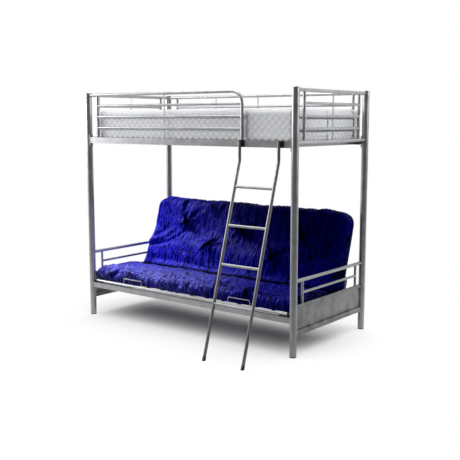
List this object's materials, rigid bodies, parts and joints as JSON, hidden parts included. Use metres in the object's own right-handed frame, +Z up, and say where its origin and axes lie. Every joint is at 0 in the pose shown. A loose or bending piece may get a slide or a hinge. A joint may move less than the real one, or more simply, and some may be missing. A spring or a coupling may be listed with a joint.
{
  "type": "sofa to bunk bed",
  "caption": "Tubular metal bunk bed with a guarded upper bunk and slanted ladder over a tufted futon sofa that slides forward and folds flat into a wide lower bed.",
  "frame": {"origin": "on the floor, under the middle of the bed and its ladder", "axes": "+X along the bed towards the ladder's end, -Y to the front where the ladder stands, +Z up"},
  "size_m": [2.003, 1.389, 1.78],
  "materials": {
    "silver_paint": "satin",
    "zinc_plating": "satin",
    "black_plastic": "matte",
    "black_rubber": "matte",
    "roller_nylon": "gloss",
    "upper_mattress_cover": "matte",
    "futon_cover": "matte"
  },
  "bodies": {
    "bed_frame": {"beam_bolts": "zinc_plating", "beam_glides": "black_plastic", "floor_glides": "black_plastic", "front_guard": "silver_paint", "front_left_lower_post": "silver_paint", "front_left_upper_post": "silver_paint", "front_right_lower_post": "silver_paint", "front_right_upper_post": "silver_paint", "guide_bolts": "zinc_plating", "guide_nuts": "zinc_plating", "joining_spigots": "silver_paint", "ladder_sockets": "black_plastic", "left_arm_rail": "silver_paint", "left_end_panel": "silver_paint", "left_guide_plate": "silver_paint", "left_runner": "silver_paint", "lower_front_beam": "silver_paint", "lower_rear_beam": "silver_paint", "post_caps": "black_plastic", "post_feet": "silver_paint", "rear_guard": "silver_paint", "rear_left_lower_post": "silver_paint", "rear_left_upper_post": "silver_paint", "rear_right_lower_post": "silver_paint", "rear_right_upper_post": "silver_paint", "right_arm_rail": "silver_paint", "right_end_panel": "silver_paint", "right_guide_plate": "silver_paint", "right_runner": "silver_paint", "upper_front_beam": "silver_paint", "upper_left_end_panel": "silver_paint", "upper_mattress": "upper_mattress_cover", "upper_rear_beam": "silver_paint", "upper_right_end_panel": "silver_paint", "upper_slats": "silver_paint"},
    "seat": {"seat_frame": "silver_paint", "seat_slats": "silver_paint", "left_seat_bracket": "silver_paint", "right_seat_bracket": "silver_paint", "hinge_pins": "zinc_plating", "left_wire_loop": "silver_paint", "right_wire_loop": "silver_paint", "seat_cushion": "futon_cover"},
    "back": {"back_frame": "silver_paint", "back_slats": "silver_paint", "left_back_bracket": "silver_paint", "right_back_bracket": "silver_paint", "guide_studs": "zinc_plating", "back_cushion": "futon_cover"},
    "left_roller": {"left_roller": "roller_nylon"},
    "right_roller": {"right_roller": "roller_nylon"},
    "ladder": {"ladder_left_rail": "silver_paint", "ladder_right_rail": "silver_paint", "ladder_rung_1": "silver_paint", "ladder_rung_2": "silver_paint", "ladder_rung_3": "silver_paint", "ladder_rung_4": "silver_paint", "ladder_feet": "black_rubber", "ladder_caps": "black_plastic"}
  },
  "joints": [
    {"name": "seat_slide", "type": "slide", "parent": "bed_frame", "child": "seat", "axis": [0, -1, 0], "range_m": [0, 0.285]},
    {"name": "back_fold", "type": "hinge", "parent": "seat", "child": "back", "pos_m": [0, 0.47805, 0.2835], "axis": [-1, 0, 0], "range_deg": [0, 73]},
    {"name": "left_roller_spin", "type": "hinge", "parent": "seat", "child": "left_roller", "pos_m": [-0.951, 0.47805, 0.2835], "axis": [1, 0, 0], "range_deg": [0, 1815]},
    {"name": "right_roller_spin", "type": "hinge", "parent": "seat", "child": "right_roller", "pos_m": [0.951, 0.47805, 0.2835], "axis": [1, 0, 0], "range_deg": [0, 1815]},
    {"name": "ladder_lift", "type": "slide", "parent": "bed_frame", "child": "ladder", "axis": [0, 0, 1], "range_m": [0, 0.06]}
  ],
  "couplings": [
    {"joint": "back_fold", "follows": "seat_slide", "rad_per_m": 4.4705},
    {"joint": "left_roller_spin", "follows": "seat_slide", "rad_per_m": 111.11},
    {"joint": "right_roller_spin", "follows": "seat_slide", "rad_per_m": 111.11}
  ]
}
